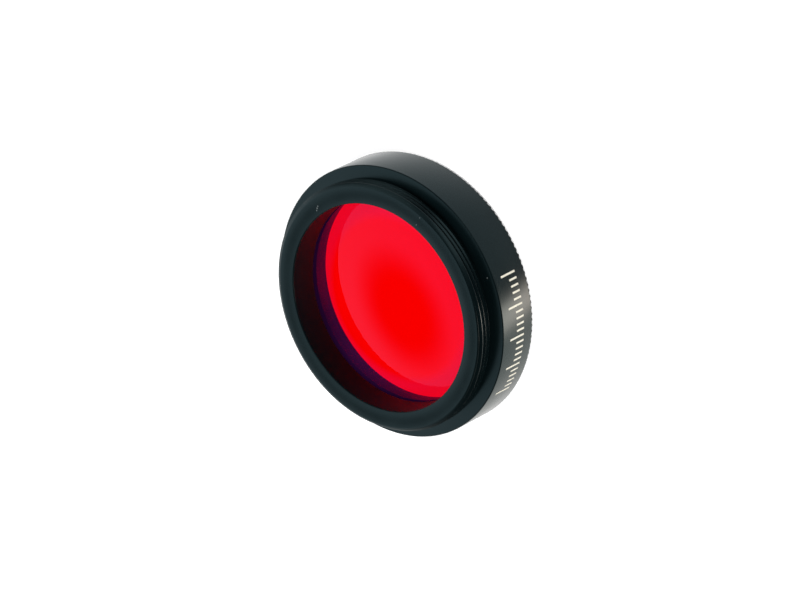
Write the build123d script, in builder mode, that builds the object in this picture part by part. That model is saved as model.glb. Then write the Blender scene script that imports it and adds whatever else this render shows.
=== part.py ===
from build123d import *
from math import isclose, pi
import os

# Optical bandpass filter, in millimetres: a coated glass pane in a threaded, knurled ring.
# The origin is the middle of the rear face. +Z is the optical axis, with the male thread on top.

# Male thread, M25.5 x 0.5, on the boss in front of the shoulder. Every other diameter nests in it.
thread_diameter = 25.5
thread_length = 2.0
thread_lead_in = 0.2
relief_depth = 0.5  # run-out groove at the foot of the thread
relief_width = 0.4

# Body of the ring
shoulder_width = 1.2  # from the crest of the thread to the rim
rim_bevel = 0.08
lip_overlap = 1.35  # how far the front lip reaches over the edge of the pane
lip_thickness = 1.05  # from the glass seat to the shoulder
aperture_bevel = 0.08

# Straight knurl, rolled into the chamfer on the rear edge of the rim
knurl_teeth = 144
knurl_width = 0.3  # of the chamfer, along the axis
knurl_drop = 0.15  # of the chamfer, from the rim to its edge on the rear face
knurl_depth = 0.14  # of a gap, at the rear face
knurl_land = 0.1  # flat left on the crest of each tooth there

# Rear bore, which has a female thread of the same size
thread_height = 0.25  # from the crest of the male thread to the wall of the rear bore
rear_bore_lead_in = 0.2
rear_bore_overrun = 0.2  # past the back of the pane, so that the retaining ring clamps the pane alone

# Glass pane
seat_step = 0.45  # from the wall of the rear bore to the wall of the seat
glass_clearance = 0.05  # all round, in its seat
glass_thickness = 1.1
glass_bevel = 0.1

# Retaining ring, screwed in behind the glass
retainer_clearance = 0.05  # all round, in the rear bore
retainer_thickness = 2.0
retainer_recess = 0.6  # from the rear face of the filter to the rear face of the ring
retainer_bevel = 0.1
spanner_slots = 2
spanner_slot_width = 1.2
spanner_slot_depth = 0.7

# Heights above the rear face, from the back of the pane to the front of the boss
glass_rear = retainer_recess + retainer_thickness
glass_front = glass_rear + glass_thickness
shoulder = glass_front + lip_thickness
front_face = shoulder + thread_length
rear_bore_end = glass_rear + rear_bore_overrun

# Radii, from the thread outwards to the rim and inwards to the aperture
thread_radius = thread_diameter / 2
relief_radius = thread_radius - relief_depth
body_radius = thread_radius + shoulder_width
rear_bore_radius = thread_radius - thread_height
retainer_radius = rear_bore_radius - retainer_clearance
seat_radius = rear_bore_radius - seat_step
glass_radius = seat_radius - glass_clearance
aperture_radius = glass_radius - lip_overlap


def circles_at(part, radius, height):
    # The circular edges of a part with this radius, centred on the axis at this height
    return part.edges().filter_by(GeomType.CIRCLE).filter_by(
        lambda edge: isclose(edge.radius, radius, abs_tol=1e-4)
        and isclose(edge.arc_center.Z, height, abs_tol=1e-4)
    )


# The ring is turned from one piece, so its section is one closed outline.
with BuildPart() as mount_ring:
    with BuildSketch(Plane.XZ):
        with BuildLine():
            Polyline(
                (aperture_radius, front_face),
                (thread_radius, front_face),
                (thread_radius, shoulder + relief_width),
                (relief_radius, shoulder + relief_width),
                (relief_radius, shoulder),
                (body_radius, shoulder),
                (body_radius, knurl_width),
                (body_radius - knurl_drop, 0),
                (rear_bore_radius, 0),
                (rear_bore_radius, rear_bore_end),
                (seat_radius, rear_bore_end),
                (seat_radius, glass_front),
                (aperture_radius, glass_front),
                close=True,
            )
        make_face()
    revolve(axis=Axis.Z)
    chamfer(circles_at(mount_ring, thread_radius, front_face), thread_lead_in)
    chamfer(circles_at(mount_ring, aperture_radius, front_face), aperture_bevel)
    chamfer(circles_at(mount_ring, body_radius, shoulder), rim_bevel)
    chamfer(circles_at(mount_ring, rear_bore_radius, 0), rear_bore_lead_in)

    # Each gap of the knurl is a V that starts at full depth at the rear face, and runs out where
    # the chamfer meets the rim. It is drawn past both, so that it cuts clean through.
    crest_radius = body_radius - knurl_drop
    knurl_pitch = 2 * pi * crest_radius / knurl_teeth
    gap_slope = (knurl_pitch - knurl_land) / 2 / knurl_depth
    root_rise = knurl_depth + knurl_drop
    run_out = Vector(root_rise, 0, knurl_width)
    overcut = knurl_width / 3
    first_root = crest_radius - knurl_depth - root_rise / 3
    gap_height = 2 * root_rise
    with BuildPart(mode=Mode.PRIVATE) as gap:
        with BuildSketch(Plane.XY.offset(-overcut)):
            with Locations((first_root, 0)):
                Polygon(
                    (0, 0),
                    (gap_height, -gap_slope * gap_height),
                    (gap_height, gap_slope * gap_height),
                    align=None,
                )
        extrude(amount=5 / 3 * run_out.length, dir=run_out)
    with PolarLocations(0, knurl_teeth):
        add(gap.part, mode=Mode.SUBTRACT)
mount_ring.part.label = "mount_ring"

with BuildPart() as filter_glass:
    with BuildSketch(Plane.XY.offset(glass_rear)):
        Circle(glass_radius)
    extrude(amount=glass_thickness)
    chamfer(filter_glass.edges().filter_by(GeomType.CIRCLE), glass_bevel)
filter_glass.part.label = "filter_glass"

with BuildPart() as retaining_ring:
    with BuildSketch(Plane.XY.offset(retainer_recess)):
        Circle(retainer_radius)
        Circle(aperture_radius, mode=Mode.SUBTRACT)
    extrude(amount=retainer_thickness)
    rear_edges = retaining_ring.edges().filter_by(GeomType.CIRCLE).group_by(Axis.Z)[0]
    chamfer(rear_edges, retainer_bevel)
    # The slots for the spanner run right across the wall of the ring.
    with BuildSketch(Plane.XY.offset(retainer_recess)):
        with PolarLocations((retainer_radius + aperture_radius) / 2, spanner_slots):
            Rectangle(2 * (retainer_radius - aperture_radius), spanner_slot_width)
    extrude(amount=spanner_slot_depth, mode=Mode.SUBTRACT)
retaining_ring.part.label = "retaining_ring"

os.makedirs("parts", exist_ok=True)
for piece in (mount_ring, filter_glass, retaining_ring):
    export_step(piece.part, f"parts/{piece.part.label}.step")
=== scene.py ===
import math
import bmesh
import bpy
from mathutils import Matrix, Vector


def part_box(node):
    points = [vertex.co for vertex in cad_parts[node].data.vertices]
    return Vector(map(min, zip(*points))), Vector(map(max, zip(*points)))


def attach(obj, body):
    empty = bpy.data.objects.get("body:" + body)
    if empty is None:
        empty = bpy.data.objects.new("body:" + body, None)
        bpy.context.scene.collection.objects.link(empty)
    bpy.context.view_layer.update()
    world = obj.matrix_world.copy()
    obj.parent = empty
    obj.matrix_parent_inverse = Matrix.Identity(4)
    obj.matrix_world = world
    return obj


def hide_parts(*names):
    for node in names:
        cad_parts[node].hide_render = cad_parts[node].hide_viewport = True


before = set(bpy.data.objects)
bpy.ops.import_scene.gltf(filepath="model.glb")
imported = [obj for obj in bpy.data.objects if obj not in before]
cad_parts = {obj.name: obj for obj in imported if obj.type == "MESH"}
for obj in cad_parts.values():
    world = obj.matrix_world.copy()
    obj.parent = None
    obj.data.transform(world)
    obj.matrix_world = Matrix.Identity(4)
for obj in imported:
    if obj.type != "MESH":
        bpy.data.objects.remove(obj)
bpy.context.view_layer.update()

# Looks of an optical bandpass filter: a red coated pane in a black anodised, threaded ring.
# Lengths are in metres, and mm turns a size in millimetres into them.
mm = 0.001
zAxis = (0, 0, 1)

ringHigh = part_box("mount_ring")[1]
glassLow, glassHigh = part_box("filter_glass")
retainerLow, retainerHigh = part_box("retaining_ring")
rimRadius = ringHigh.x
frontFace = ringHigh.z


# Camera

camera = {
    "axisRight": -0.6285,      # the optical axis, as it lies across the picture
    "axisUp": -0.3159,
    "distance": 484.5 * mm,    # from the lens to the front face
    "pixelsPerMetre": 10312,   # at the front face
    "frontFacePixel": (377.27, 308.48),  # middle of the front face, in the 800 x 600 picture
    "pictureSize": (800, 600),
    "sensorWidth": 36,
    "clipRange": (0.01, 10),
}


def makeCamera():
    right, up = camera["axisRight"], camera["axisUp"]
    lean = math.hypot(right, up)
    facing = math.sqrt(1 - lean ** 2)
    backward = Vector((0, -lean, facing))            # from the object to the camera
    upright = Vector((0, facing, lean))              # up in the picture, before the roll
    sideways = backward.cross(upright)
    x = (right * upright - up * sideways) / lean
    y = (up * upright + right * sideways) / lean
    width, height = camera["pictureSize"]
    column, row = camera["frontFacePixel"]
    offset = Vector((column - width / 2, height / 2 - row)) / camera["pixelsPerMetre"]
    place = Vector((0, 0, frontFace)) + backward * camera["distance"] - x * offset.x - y * offset.y
    data = bpy.data.cameras.new("camera")
    data.sensor_width = camera["sensorWidth"]
    data.lens = camera["pixelsPerMetre"] * camera["distance"] * camera["sensorWidth"] / width
    data.clip_start, data.clip_end = camera["clipRange"]
    cameraObject = bpy.data.objects.new("camera", data)
    turn = Matrix((x, y, backward)).transposed().to_4x4()
    cameraObject.matrix_world = Matrix.Translation(place) @ turn
    bpy.context.scene.collection.objects.link(cameraObject)
    bpy.context.scene.camera = cameraObject


makeCamera()
print("camera placed")


# Mesh helpers

shaping = {
    "cornerAngle": 5,              # degrees: a sharper turn of an outline gets a round edge
    "roundSegments": 2,
    "mergeDistance": 0.0005 * mm,
    "sharpAngle": 28,              # degrees: a sharper edge isn't shaded smooth
}


def newObject(name, mesh):
    piece = bpy.data.objects.new(name, mesh)
    bpy.context.scene.collection.objects.link(piece)
    return piece


def meshFrom(bm, name):
    mesh = bpy.data.meshes.new(name)
    bm.to_mesh(mesh)
    bm.free()
    return mesh


def outline(bm, points, closed=True):
    # A wire through points of radius and height, in the XZ plane
    verts = [bm.verts.new((radius, 0, height)) for radius, height in points]
    for a, b in zip(verts, verts[1:]):
        bm.edges.new((a, b))
    if closed:
        bm.edges.new((verts[-1], verts[0]))
    return verts


def isCorner(vert):
    # False for the ends of an open outline, and where it hardly turns
    if len(vert.link_edges) < 2:
        return False
    before, after = [edge.other_vert(vert).co - vert.co for edge in vert.link_edges]
    return before.angle(-after) > math.radians(shaping["cornerAngle"])


def turned(points, steps, edgeRound, closed=True):
    # A lathe piece: its outline gets small round edges, and is spun about the optical axis
    bm = bmesh.new()
    corners = [vert for vert in outline(bm, points, closed) if isCorner(vert)]
    bmesh.ops.bevel(bm, geom=corners, offset=edgeRound, offset_type="OFFSET",
                    segments=shaping["roundSegments"], profile=0.5, affect="VERTICES",
                    material=-1, clamp_overlap=True)
    bmesh.ops.spin(bm, geom=bm.verts[:] + bm.edges[:], cent=(0, 0, 0), axis=zAxis, dvec=(0, 0, 0),
                   angle=2 * math.pi, steps=steps, use_merge=True)
    bmesh.ops.remove_doubles(bm, verts=bm.verts, dist=shaping["mergeDistance"])
    bmesh.ops.recalc_face_normals(bm, faces=bm.faces)
    return bm


def cut(piece, tool):
    # Cuts the tool out of the piece, and removes the tool
    modifier = piece.modifiers.new("cut", "BOOLEAN")
    modifier.object = tool
    modifier.operation = "DIFFERENCE"
    modifier.solver = "EXACT"
    graph = bpy.context.evaluated_depsgraph_get()
    mesh = bpy.data.meshes.new_from_object(piece.evaluated_get(graph))
    piece.modifiers.clear()
    piece.data = mesh
    bpy.data.objects.remove(tool)


def smooth(piece):
    for polygon in piece.data.polygons:
        polygon.use_smooth = True
    piece.data.set_sharp_from_angle(angle=math.radians(shaping["sharpAngle"]))


# Mount ring

ring = {
    "threadRadius": 12.75 * mm,
    "threadPitch": 0.5 * mm,
    "threadDepth": 0.28 * mm,
    "threadCrest": 0.07 * mm,
    "threadSteps": 144,
    "cutterOverlap": 0.06 * mm,   # how far the cutter of a thread stands out of the wall
    "runOutAngle": 290,           # where the first groove leaves through the front face
    "leadIn": 0.2 * mm,
    "leadInWidth": 0.42 * mm,
    "reliefRadius": 12.25 * mm,
    "reliefWidth": 0.4 * mm,
    "shoulder": 4.75 * mm,
    "rimBevel": 0.08 * mm,
    "apertureRadius": 10.65 * mm,
    "apertureBevel": 0.08 * mm,
    "boreTolerance": 0.01 * mm,   # past the aperture's wall, for faces that wear the matt black
    "seatRadius": 12.05 * mm,
    "rearBoreRadius": 12.5 * mm,
    "rearBoreEnd": 2.8 * mm,
    "rearBoreLeadIn": 0.2 * mm,
    "femaleThreadEnd": 2.0 * mm,
    "teeth": 144,
    "stepsPerTooth": 6,
    "knurlWidth": 0.3 * mm,
    "knurlDrop": 0.15 * mm,
    "knurlDepth": 0.14 * mm,
    "knurlRows": 3,
    "edgeRound": 0.03 * mm,
}


def knurledRadius(angle, height):
    # Reach of the rear chamfer. The knurl is a soft wave in it, that runs out where it meets the rim
    wave = 0.5 + 0.5 * math.cos(ring["teeth"] * angle)
    inward = ring["knurlDrop"] + ring["knurlDepth"] * wave
    return rimRadius - inward * (1 - height / ring["knurlWidth"])


def threadCutter(name, wall, side, low, high, startAngle=0):
    # A coil that cuts a thread. Its section stands out of the wall, and narrows towards the root
    pitch, depth, over = ring["threadPitch"], ring["threadDepth"], ring["cutterOverlap"]
    mouth, root = (pitch - ring["threadCrest"]) / 2, ring["threadCrest"] / 2
    wide = mouth + (mouth - root) / depth * over
    bm = bmesh.new()
    start = bm.faces.new(outline(bm, [
        (wall + side * over, low - wide),
        (wall + side * over, low + wide),
        (wall - side * depth, low + root),
        (wall - side * depth, low - root),
    ]))
    turns, stepsPerTurn = (high - low) / pitch, ring["threadSteps"]
    bmesh.ops.spin(bm, geom=[start, *start.edges, *start.verts], cent=(0, 0, 0), axis=zAxis,
                   dvec=(0, 0, pitch / stepsPerTurn), angle=2 * math.pi * turns,
                   steps=round(turns * stepsPerTurn))
    bmesh.ops.rotate(bm, verts=bm.verts, cent=(0, 0, 0),
                     matrix=Matrix.Rotation(math.radians(startAngle), 3, "Z"))
    bmesh.ops.recalc_face_normals(bm, faces=bm.faces)
    return newObject(name, meshFrom(bm, name))


def makeMountRing():
    thread, aperture = ring["threadRadius"], ring["apertureRadius"]
    bore, seat, relief = ring["rearBoreRadius"], ring["seatRadius"], ring["reliefRadius"]
    shoulder, leadIn = ring["shoulder"], ring["leadIn"]
    boreLeadIn, boreEnd = ring["rearBoreLeadIn"], ring["rearBoreEnd"]
    knurlEnd, drop, rows = ring["knurlWidth"], ring["knurlDrop"], ring["knurlRows"]
    reliefTop = shoulder + ring["reliefWidth"]
    bm = turned([
        (aperture + ring["apertureBevel"], frontFace),
        (thread - ring["leadInWidth"], frontFace),
        (thread, frontFace - leadIn),
        (thread, reliefTop),
        (relief, reliefTop),
        (relief, shoulder),
        (rimRadius - ring["rimBevel"], shoulder),
        (rimRadius, shoulder - ring["rimBevel"]),
        *[(rimRadius - drop * row / rows, knurlEnd * (rows - row) / rows) for row in range(rows + 1)],
        (bore + boreLeadIn, 0),
        (bore, boreLeadIn),
        (bore, boreEnd),
        (seat, boreEnd),
        (seat, glassHigh.z),
        (aperture, glassHigh.z),
        (aperture, frontFace - ring["apertureBevel"]),
    ], ring["teeth"] * ring["stepsPerTooth"], ring["edgeRound"])
    deepest = rimRadius - drop - ring["knurlDepth"]
    for vert in bm.verts:
        radius = math.hypot(vert.co.x, vert.co.y)
        if radius > deepest and vert.co.z < knurlEnd:
            angle = math.atan2(vert.co.y, vert.co.x)
            wanted = min(radius, knurledRadius(angle, vert.co.z))
            vert.co.x *= wanted / radius
            vert.co.y *= wanted / radius
    piece = newObject("mountRing", meshFrom(bm, "mountRing"))

    # The male groove runs from the relief out through the front face, and the female one from the
    # rear face until it ends in the wall
    pitch = ring["threadPitch"]
    low, high = shoulder + ring["reliefWidth"] / 2, frontFace + pitch
    startAngle = ring["runOutAngle"] - 360 * (frontFace - low) / pitch
    cut(piece, threadCutter("maleThread", thread, 1, low, high, startAngle))
    cut(piece, threadCutter("femaleThread", bore, -1, -pitch, ring["femaleThreadEnd"]))
    smooth(piece)
    return piece


# Glass pane

glass = {
    "bevel": 0.1 * mm,
    "edgeRound": 0.02 * mm,
    "steps": 288,
}


def makeGlass():
    radius, bevel = glassHigh.x, glass["bevel"]
    bm = turned([
        (0, glassHigh.z),
        (radius - bevel, glassHigh.z),
        (radius, glassHigh.z - bevel),
        (radius, glassLow.z + bevel),
        (radius - bevel, glassLow.z),
        (0, glassLow.z),
    ], glass["steps"], glass["edgeRound"], closed=False)
    piece = newObject("filterGlass", meshFrom(bm, "filterGlass"))
    smooth(piece)
    return piece


# Retaining ring

retainer = {
    "innerRadius": 10.65 * mm,
    "bevel": 0.1 * mm,
    "slots": 2,
    "slotWidth": 1.2 * mm,
    "slotDepth": 0.7 * mm,
    "edgeRound": 0.02 * mm,
    "steps": 288,
}


def makeRetainer():
    inner, outer, bevel = retainer["innerRadius"], retainerHigh.x, retainer["bevel"]
    rear, front = retainerLow.z, retainerHigh.z
    bm = turned([
        (inner, front),
        (outer, front),
        (outer, rear + bevel),
        (outer - bevel, rear),
        (inner + bevel, rear),
        (inner, rear + bevel),
    ], retainer["steps"], retainer["edgeRound"])
    piece = newObject("retainingRing", meshFrom(bm, "retainingRing"))
    slots = bmesh.new()
    across = 4 * (outer - inner)      # well past both walls of the ring
    size = Matrix.Diagonal((across, retainer["slotWidth"], 2 * retainer["slotDepth"], 1))
    for index in range(retainer["slots"]):
        turn = Matrix.Rotation(2 * math.pi * index / retainer["slots"], 4, "Z")
        place = Matrix.Translation(((inner + outer) / 2, 0, rear))
        bmesh.ops.create_cube(slots, size=1, matrix=turn @ place @ size)
    cut(piece, newObject("slots", meshFrom(slots, "slots")))
    smooth(piece)
    return piece


# Index marks, in the place of the engraving on the rim

marks = {
    "firstAngle": 206,
    "lastAngle": 259,
    "spacing": 2.65,
    "longEvery": 5,
    "middle": 2.6 * mm,       # height above the rear face of the middle of the long marks
    "longLength": 2.1 * mm,
    "shortLength": 1.1 * mm,
    "width": 0.2 * mm,
    "raised": 0.006 * mm,
    "sunk": 0.03 * mm,
}


def makeMarks():
    bm = bmesh.new()
    count = round((marks["lastAngle"] - marks["firstAngle"]) / marks["spacing"]) + 1
    foot = marks["middle"] - marks["longLength"] / 2
    thick = marks["raised"] + marks["sunk"]
    for index in range(count):
        length = marks["shortLength"] if index % marks["longEvery"] else marks["longLength"]
        angle = math.radians(marks["firstAngle"] + index * marks["spacing"])
        radius = rimRadius + marks["raised"] - thick / 2
        place = Matrix.Rotation(angle, 4, "Z") @ Matrix.Translation((radius, 0, foot + length / 2))
        size = Matrix.Diagonal((thick, marks["width"], length, 1))
        bmesh.ops.create_cube(bm, size=1, matrix=place @ size)
    return newObject("indexMarks", meshFrom(bm, "indexMarks"))


# Material helpers

def newMaterial(name):
    material = bpy.data.materials.new(name)
    material.use_nodes = True
    tree = material.node_tree
    return material, tree, tree.nodes["Principled BSDF"]


def node(tree, kind, **settings):
    # Adds a node. A setting is a property of the node, or else the value of one of its inputs
    made = tree.nodes.new(kind)
    for name, value in settings.items():
        if hasattr(made, name):
            setattr(made, name, value)
        else:
            made.inputs[name.replace("_", " ")].default_value = value
    return made


def link(tree, output, socket):
    tree.links.new(output, socket)


def feed(tree, colour, socket):
    # A colour is a value of its own, or the output of a node
    if isinstance(colour, tuple):
        socket.default_value = colour
    else:
        link(tree, colour, socket)


def mixedColour(tree, factor, first, second):
    mix = node(tree, "ShaderNodeMix", data_type="RGBA")
    link(tree, factor, mix.inputs[0])
    feed(tree, first, mix.inputs[6])
    feed(tree, second, mix.inputs[7])
    return mix.outputs[2]


def mixedShader(tree, factor, first, second):
    mix = node(tree, "ShaderNodeMixShader")
    link(tree, factor, mix.inputs[0])
    link(tree, first, mix.inputs[1])
    link(tree, second, mix.inputs[2])
    return mix.outputs[0]


def mapped(tree, value, fromRange, toRange, interpolation="LINEAR"):
    fade = node(tree, "ShaderNodeMapRange", interpolation_type=interpolation)
    link(tree, value, fade.inputs["Value"])
    for name, limit in zip(("From Min", "From Max", "To Min", "To Max"), (*fromRange, *toRange)):
        fade.inputs[name].default_value = limit
    return fade.outputs["Result"]


def wearOnly(piece, *materials):
    piece.data.materials.clear()
    for material in materials:
        piece.data.materials.append(material)


def turningVector(tree, position):
    # Radius and height of a point: noise read with it runs in rings round the axis, as turning does
    split = node(tree, "ShaderNodeSeparateXYZ")
    flat = node(tree, "ShaderNodeCombineXYZ")
    length = node(tree, "ShaderNodeVectorMath", operation="LENGTH")
    join = node(tree, "ShaderNodeCombineXYZ")
    link(tree, position, split.inputs[0])
    link(tree, split.outputs["X"], flat.inputs["X"])
    link(tree, split.outputs["Y"], flat.inputs["Y"])
    link(tree, flat.outputs[0], length.inputs[0])
    link(tree, length.outputs["Value"], join.inputs["X"])
    link(tree, split.outputs["Z"], join.inputs["Z"])
    return join.outputs[0]


def noise(tree, position, scale, detail):
    texture = node(tree, "ShaderNodeTexNoise", Scale=scale, Detail=detail)
    link(tree, position, texture.inputs["Vector"])
    return texture.outputs["Fac"]


def blot(tree, position, centre, edge):
    # 1 in a small ball, and 0 from the far end of its soft edge
    away = node(tree, "ShaderNodeVectorMath", operation="DISTANCE")
    link(tree, position, away.inputs[0])
    away.inputs[1].default_value = centre
    return mapped(tree, away.outputs["Value"], edge, (1, 0), "SMOOTHSTEP")


# Black anodised aluminium. Each noise has a scale and a detail. The metal wears one nick and a few
# specks, with their middles and sizes in mm

anodised = {
    "name": "blackAnodised",
    "colour": (0.0008, 0.0024, 0.0028, 1),
    "paleColour": (0.0016, 0.004, 0.0046, 1),
    "reflection": (0.6, 0.93, 1.0, 1),
    "ior": 1.5,
    "roughLow": 0.2,
    "roughHigh": 0.28,
    "turningNoise": (9000, 3),
    "turningHeight": 0.0006 * mm,
    "grainNoise": (16000, 2),
    "grainHeight": 0.001 * mm,
    "cloudNoise": (260, 4),
    "nickColour": (0.09, 0.1, 0.1, 1),
    "nickEdge": (0.5, 1.2),       # where its soft edge starts and ends, against its size
    "nicks": [
        ((11.15, 1.38, 6.75), 0.08),
        ((11.32, 1.2, 6.75), 0.1),
        ((11.47, 1.0, 6.75), 0.08),
        ((-2.12, -13.1, 4.75), 0.08),
        ((5.46, -9.77, 6.75), 0.06),
        ((5.9, -10.6, 6.75), 0.05),
    ],
}

mattBore = {
    **anodised,
    "name": "mattBlackBore",
    "reflection": (0.25, 0.5, 0.55, 1),
    "ior": 1.3,
    "roughLow": 0.45,
    "roughHigh": 0.6,
    "nicks": [],
}

mattRing = {
    **anodised,
    "name": "mattBlackAnodised",
    "colour": (0.0012, 0.0018, 0.002, 1),
    "paleColour": (0.002, 0.003, 0.0034, 1),
    "ior": 1.3,
    "roughLow": 0.42,
    "roughHigh": 0.55,
    "nicks": [],
}


def anodisedMaterial(values):
    material, tree, shader = newMaterial(values["name"])
    place = node(tree, "ShaderNodeTexCoord").outputs["Object"]
    turning = noise(tree, turningVector(tree, place), *values["turningNoise"])
    grain = noise(tree, place, *values["grainNoise"])
    cloud = noise(tree, place, *values["cloudNoise"])
    colour = mixedColour(tree, cloud, values["colour"], values["paleColour"])
    rough = mapped(tree, cloud, (0, 1), (values["roughLow"], values["roughHigh"]))
    for centre, size in values["nicks"]:
        edge = [share * size * mm for share in values["nickEdge"]]
        mask = blot(tree, place, Vector(centre) * mm, edge)
        colour = mixedColour(tree, mask, colour, values["nickColour"])
    link(tree, colour, shader.inputs["Base Color"])
    link(tree, rough, shader.inputs["Roughness"])
    lathe = node(tree, "ShaderNodeBump", Strength=1.0, Distance=values["turningHeight"])
    skin = node(tree, "ShaderNodeBump", Strength=1.0, Distance=values["grainHeight"])
    link(tree, turning, lathe.inputs["Height"])
    link(tree, grain, skin.inputs["Height"])
    link(tree, lathe.outputs["Normal"], skin.inputs["Normal"])
    link(tree, skin.outputs["Normal"], shader.inputs["Normal"])
    shader.inputs["IOR"].default_value = values["ior"]
    shader.inputs["Specular Tint"].default_value = values["reflection"]
    return material


# Coated red glass

redGlass = {
    "colour": (0.95, 0.0, 0.0, 1),
    "palerColour": (0.99, 0.0, 0.0, 1),
    "cloudNoise": (90, 2),
    "reflection": (0.4, 0.04, 0.6, 1),
    "ior": 1.5,
    "paintedViolet": (0.22, 0.03, 0.34, 1),   # painted light: a diffuse violet towards the edge of the pane, in the place of the violet light seen through the coating there
    "paintedVioletRadii": (7.8 * mm, 9.2 * mm),
    "paintedVioletAmounts": (0, 0.07),
}


def glassMaterial():
    material, tree, shader = newMaterial("coatedRedGlass")
    place = node(tree, "ShaderNodeTexCoord").outputs["Object"]
    cloud = noise(tree, place, *redGlass["cloudNoise"])
    colour = mixedColour(tree, cloud, redGlass["colour"], redGlass["palerColour"])
    link(tree, colour, shader.inputs["Base Color"])
    shader.inputs["Specular Tint"].default_value = redGlass["reflection"]
    shader.inputs["Roughness"].default_value = 0.0
    shader.inputs["IOR"].default_value = redGlass["ior"]
    shader.inputs["Transmission Weight"].default_value = 1.0
    # Painted light: a violet diffuse shader, mixed in more towards the pane's edge, stands in for
    # violet light seen through the coating
    split = node(tree, "ShaderNodeSeparateXYZ")
    link(tree, turningVector(tree, place), split.inputs[0])
    radius = split.outputs["X"]
    paintedVioletAmount = mapped(tree, radius, redGlass["paintedVioletRadii"], redGlass["paintedVioletAmounts"], "SMOOTHSTEP")
    paintedVioletShader = node(tree, "ShaderNodeBsdfDiffuse", Color=redGlass["paintedViolet"])
    mixed = mixedShader(tree, paintedVioletAmount, shader.outputs[0], paintedVioletShader.outputs[0])
    link(tree, mixed, tree.nodes["Material Output"].inputs["Surface"])
    return material


# Cream marking paint

markPaint = {
    "colour": (0.78, 0.74, 0.62, 1),
    "wornColour": (0.5, 0.48, 0.4, 1),
    "grainNoise": (9000, 3),
    "roughness": 0.7,
}


def markMaterial():
    material, tree, shader = newMaterial("markingPaint")
    place = node(tree, "ShaderNodeTexCoord").outputs["Object"]
    grain = noise(tree, place, *markPaint["grainNoise"])
    colour = mixedColour(tree, grain, markPaint["colour"], markPaint["wornColour"])
    link(tree, colour, shader.inputs["Base Color"])
    shader.inputs["Roughness"].default_value = markPaint["roughness"]
    return material


# The pieces. The wall of the mount ring's aperture wears its second material

mountRing = makeMountRing()
wearOnly(mountRing, anodisedMaterial(anodised), anodisedMaterial(mattBore))
wall = ring["apertureRadius"] + ring["boreTolerance"]
for polygon in mountRing.data.polygons:
    polygon.material_index = 1 if math.hypot(*polygon.center.xy) < wall else 0
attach(mountRing, "root")
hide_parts("mount_ring")
print("mount ring turned, knurled and threaded:", len(mountRing.data.polygons), "faces")

filterGlass = makeGlass()
wearOnly(filterGlass, glassMaterial())
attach(filterGlass, "root")
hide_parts("filter_glass")
print("glass pane made")

retainingRing = makeRetainer()
wearOnly(retainingRing, anodisedMaterial(mattRing))
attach(retainingRing, "root")
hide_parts("retaining_ring")
print("retaining ring made")

indexMarks = makeMarks()
wearOnly(indexMarks, markMaterial())
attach(indexMarks, "root")
print("index marks made")


# Floor, world and lamps

studio = {
    "floorSize": 3.0,
    "floorDrop": 0.002 * mm,    # below the rear face of the filter
    "floorColour": (0.8, 0.8, 0.8, 1),
    "cameraLift": 0.35,         # added to the lit floor, for the camera alone
    "ambient": 0.35,
    "brightest": 10,            # no band is brighter than this
    "horizon": (-0.2, 0.35),    # height of a direction, from all floor to all ceiling
    "nadir": (-0.95, -0.8),     # and where the floor fades, towards straight below
    "nadirShare": 0.1,          # what is left of it there
    # What gloss sees below the horizon, round the axis: an angle from +X, and a colour there
    "around": [
        (-180, (1.35, 1.3, 1.2)),
        (-164, (1.4, 1.3, 1.2)),
        (-152, (1.7, 1.5, 1.35)),
        (-148, (7.5, 5.6, 4.8)),
        (-133, (7.5, 5.6, 4.8)),
        (-129, (1.0, 0.8, 0.7)),
        (-118, (0.33, 0.33, 0.34)),
        (-98, (0.48, 0.48, 0.48)),
        (-60, (0.52, 0.53, 0.54)),
        (-20, (0.8, 0.8, 0.81)),
        (12, (0.96, 0.96, 0.96)),
        (60, (1.25, 1.25, 1.25)),
        (120, (1.3, 1.28, 1.25)),
        (180, (1.35, 1.3, 1.2)),
    ],
    "skyBase": 0.02,
    # Soft boxes that gloss sees above the horizon: towards, reach in degrees, colour
    "softBoxes": [
        ((0.10, 0.86, 0.50), (18, 48), (0.62, 0.70, 0.74)),
        ((0.60, 0.22, 0.76), (8, 26), (0.40, 0.42, 0.42)),
        ((0.24, -0.34, 0.91), (5, 17), (0.9, 0.9, 0.9)),
    ],
    "darkSpot": ((-0.02, 0.7034, 0.7108), (2.5, 7)),
    # Lamps that gloss doesn't see: name, place, size and power
    "lamps": [
        ("keyLamp", (-0.30, -0.22, 0.32), 0.30, 2.6),
        ("fillLamp", (0.34, 0.12, 0.34), 0.30, 2.2),
    ],
}


def lightPathAny(tree, *kinds):
    # 1 for rays of any of these kinds, and 0 for others
    path = node(tree, "ShaderNodeLightPath")
    total = path.outputs[kinds[0]]
    for kind in kinds[1:]:
        either = node(tree, "ShaderNodeMath", operation="MAXIMUM")
        link(tree, total, either.inputs[0])
        link(tree, path.outputs[kind], either.inputs[1])
        total = either.outputs[0]
    return total


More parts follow.
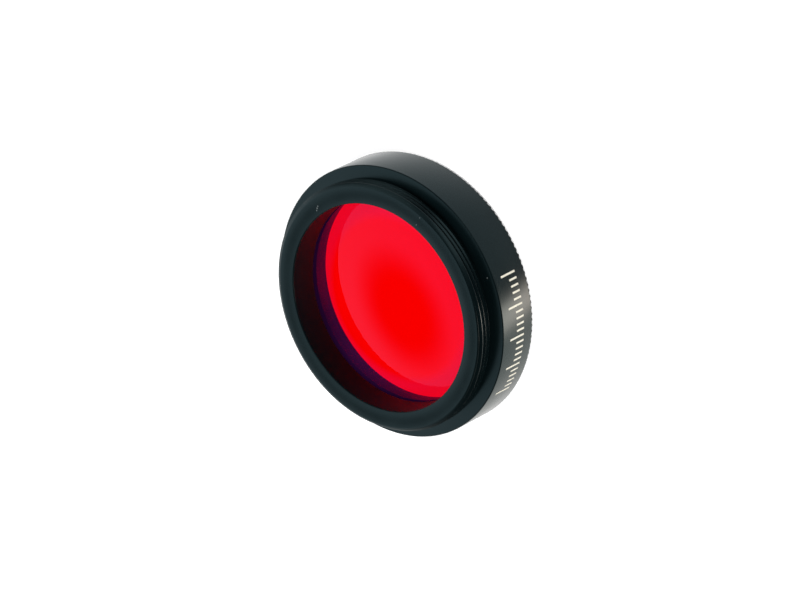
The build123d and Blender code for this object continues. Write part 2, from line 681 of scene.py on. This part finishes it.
def makeFloor():
    bm = bmesh.new()
    place = Matrix.Translation((0, 0, -studio["floorDrop"]))
    bmesh.ops.create_grid(bm, x_segments=1, y_segments=1, size=studio["floorSize"] / 2, matrix=place)
    floor = newObject("floor", meshFrom(bm, "floor"))
    material = bpy.data.materials.new("paleFloor")
    material.use_nodes = True
    material.cycles.emission_sampling = "NONE"
    tree = material.node_tree
    tree.nodes.clear()
    diffuse = node(tree, "ShaderNodeBsdfDiffuse", Color=studio["floorColour"])
    glow = node(tree, "ShaderNodeEmission", Strength=studio["cameraLift"])
    white = node(tree, "ShaderNodeEmission", Strength=1.0)
    lifted = node(tree, "ShaderNodeAddShader")
    link(tree, diffuse.outputs[0], lifted.inputs[0])
    link(tree, glow.outputs[0], lifted.inputs[1])
    byCamera = lightPathAny(tree, "Is Camera Ray")
    throughGlass = lightPathAny(tree, "Is Transmission Ray")
    seen = mixedShader(tree, byCamera, diffuse.outputs[0], lifted.outputs[0])
    seen = mixedShader(tree, throughGlass, seen, white.outputs[0])
    link(tree, seen, node(tree, "ShaderNodeOutputMaterial").inputs["Surface"])
    wearOnly(floor, material)
    floor.visible_glossy = False


def colourNode(tree, first, second, operation):
    # Two colours multiplied or added
    both = node(tree, "ShaderNodeVectorMath", operation=operation)
    feed(tree, first, both.inputs[0])
    feed(tree, second, both.inputs[1])
    return both.outputs[0]


def belowHorizon(tree, split):
    # The floor as gloss sees it: bands of brightness round the axis, that fade out straight below
    angle = node(tree, "ShaderNodeMath", operation="ARCTAN2")
    link(tree, split.outputs["Y"], angle.inputs[0])
    link(tree, split.outputs["X"], angle.inputs[1])
    ramp = node(tree, "ShaderNodeValToRGB")
    link(tree, mapped(tree, angle.outputs[0], (-math.pi, math.pi), (0, 1)), ramp.inputs[0])
    stops = ramp.color_ramp.elements
    bands = studio["around"]
    while len(stops) < len(bands):
        stops.new(0.5)
    for index, (degrees, colour) in enumerate(bands):
        stops[index].position = (degrees + 180) / 360
        stops[index].color = (*[part / studio["brightest"] for part in colour], 1)
    bright = (studio["brightest"],) * 3
    around = colourNode(tree, ramp.outputs[0], bright, "MULTIPLY")
    shares = (studio["nadirShare"], 1)
    fade = mapped(tree, split.outputs["Z"], studio["nadir"], shares, "SMOOTHSTEP")
    return colourNode(tree, around, fade, "MULTIPLY")


def spot(tree, direction, towards, reach, values):
    # The second value within the inner reach of a direction, and the first beyond its outer reach
    facing = node(tree, "ShaderNodeVectorMath", operation="DOT_PRODUCT")
    link(tree, direction, facing.inputs[0])
    facing.inputs[1].default_value = Vector(towards).normalized()
    edges = [math.cos(math.radians(limit)) for limit in reversed(reach)]
    return mapped(tree, facing.outputs["Value"], edges, values, "SMOOTHSTEP")


def aboveHorizon(tree, direction):
    # A dark ceiling with soft boxes, and a darker spot, which the pane mirrors in the main view
    total = (studio["skyBase"],) * 3
    for towards, reach, colour in studio["softBoxes"]:
        mask = spot(tree, direction, towards, reach, (0, 1))
        total = colourNode(tree, total, colourNode(tree, mask, colour, "MULTIPLY"), "ADD")
    return colourNode(tree, total, spot(tree, direction, *studio["darkSpot"], (1, 0)), "MULTIPLY")


def makeWorld():
    world = bpy.data.worlds.new("studioWorld")
    bpy.context.scene.world = world
    world.use_nodes = True
    tree = world.node_tree
    tree.nodes.clear()
    direction = node(tree, "ShaderNodeTexCoord").outputs["Generated"]
    split = node(tree, "ShaderNodeSeparateXYZ")
    link(tree, direction, split.inputs[0])
    level = mapped(tree, split.outputs["Z"], studio["horizon"], (0, 1), "SMOOTHSTEP")
    around = mixedColour(tree, level, belowHorizon(tree, split), aboveHorizon(tree, direction))
    ambient = node(tree, "ShaderNodeBackground", Strength=studio["ambient"], Color=(1, 1, 1, 1))
    white = node(tree, "ShaderNodeBackground", Strength=1.0, Color=(1, 1, 1, 1))
    sky = node(tree, "ShaderNodeBackground", Strength=1.0)
    link(tree, around, sky.inputs["Color"])
    inGloss = lightPathAny(tree, "Is Glossy Ray")
    straightOn = lightPathAny(tree, "Is Camera Ray", "Is Transmission Ray")
    seen = mixedShader(tree, inGloss, ambient.outputs[0], sky.outputs[0])
    seen = mixedShader(tree, straightOn, seen, white.outputs[0])
    link(tree, seen, node(tree, "ShaderNodeOutputWorld").inputs["Surface"])


def addLamp(name, place, size, power):
    data = bpy.data.lights.new(name, "AREA")
    data.shape = "DISK"
    data.size = size
    data.energy = power
    lamp = bpy.data.objects.new(name, data)
    lamp.location = place
    lamp.rotation_mode = "QUATERNION"
    lamp.rotation_quaternion = (-Vector(place)).to_track_quat("-Z", "Y")
    lamp.visible_glossy = False
    bpy.context.scene.collection.objects.link(lamp)


makeFloor()
makeWorld()
for lamp in studio["lamps"]:
    addLamp(*lamp)
print("floor, world and lamps set")

bpy.context.scene.view_settings.view_transform = "Standard"
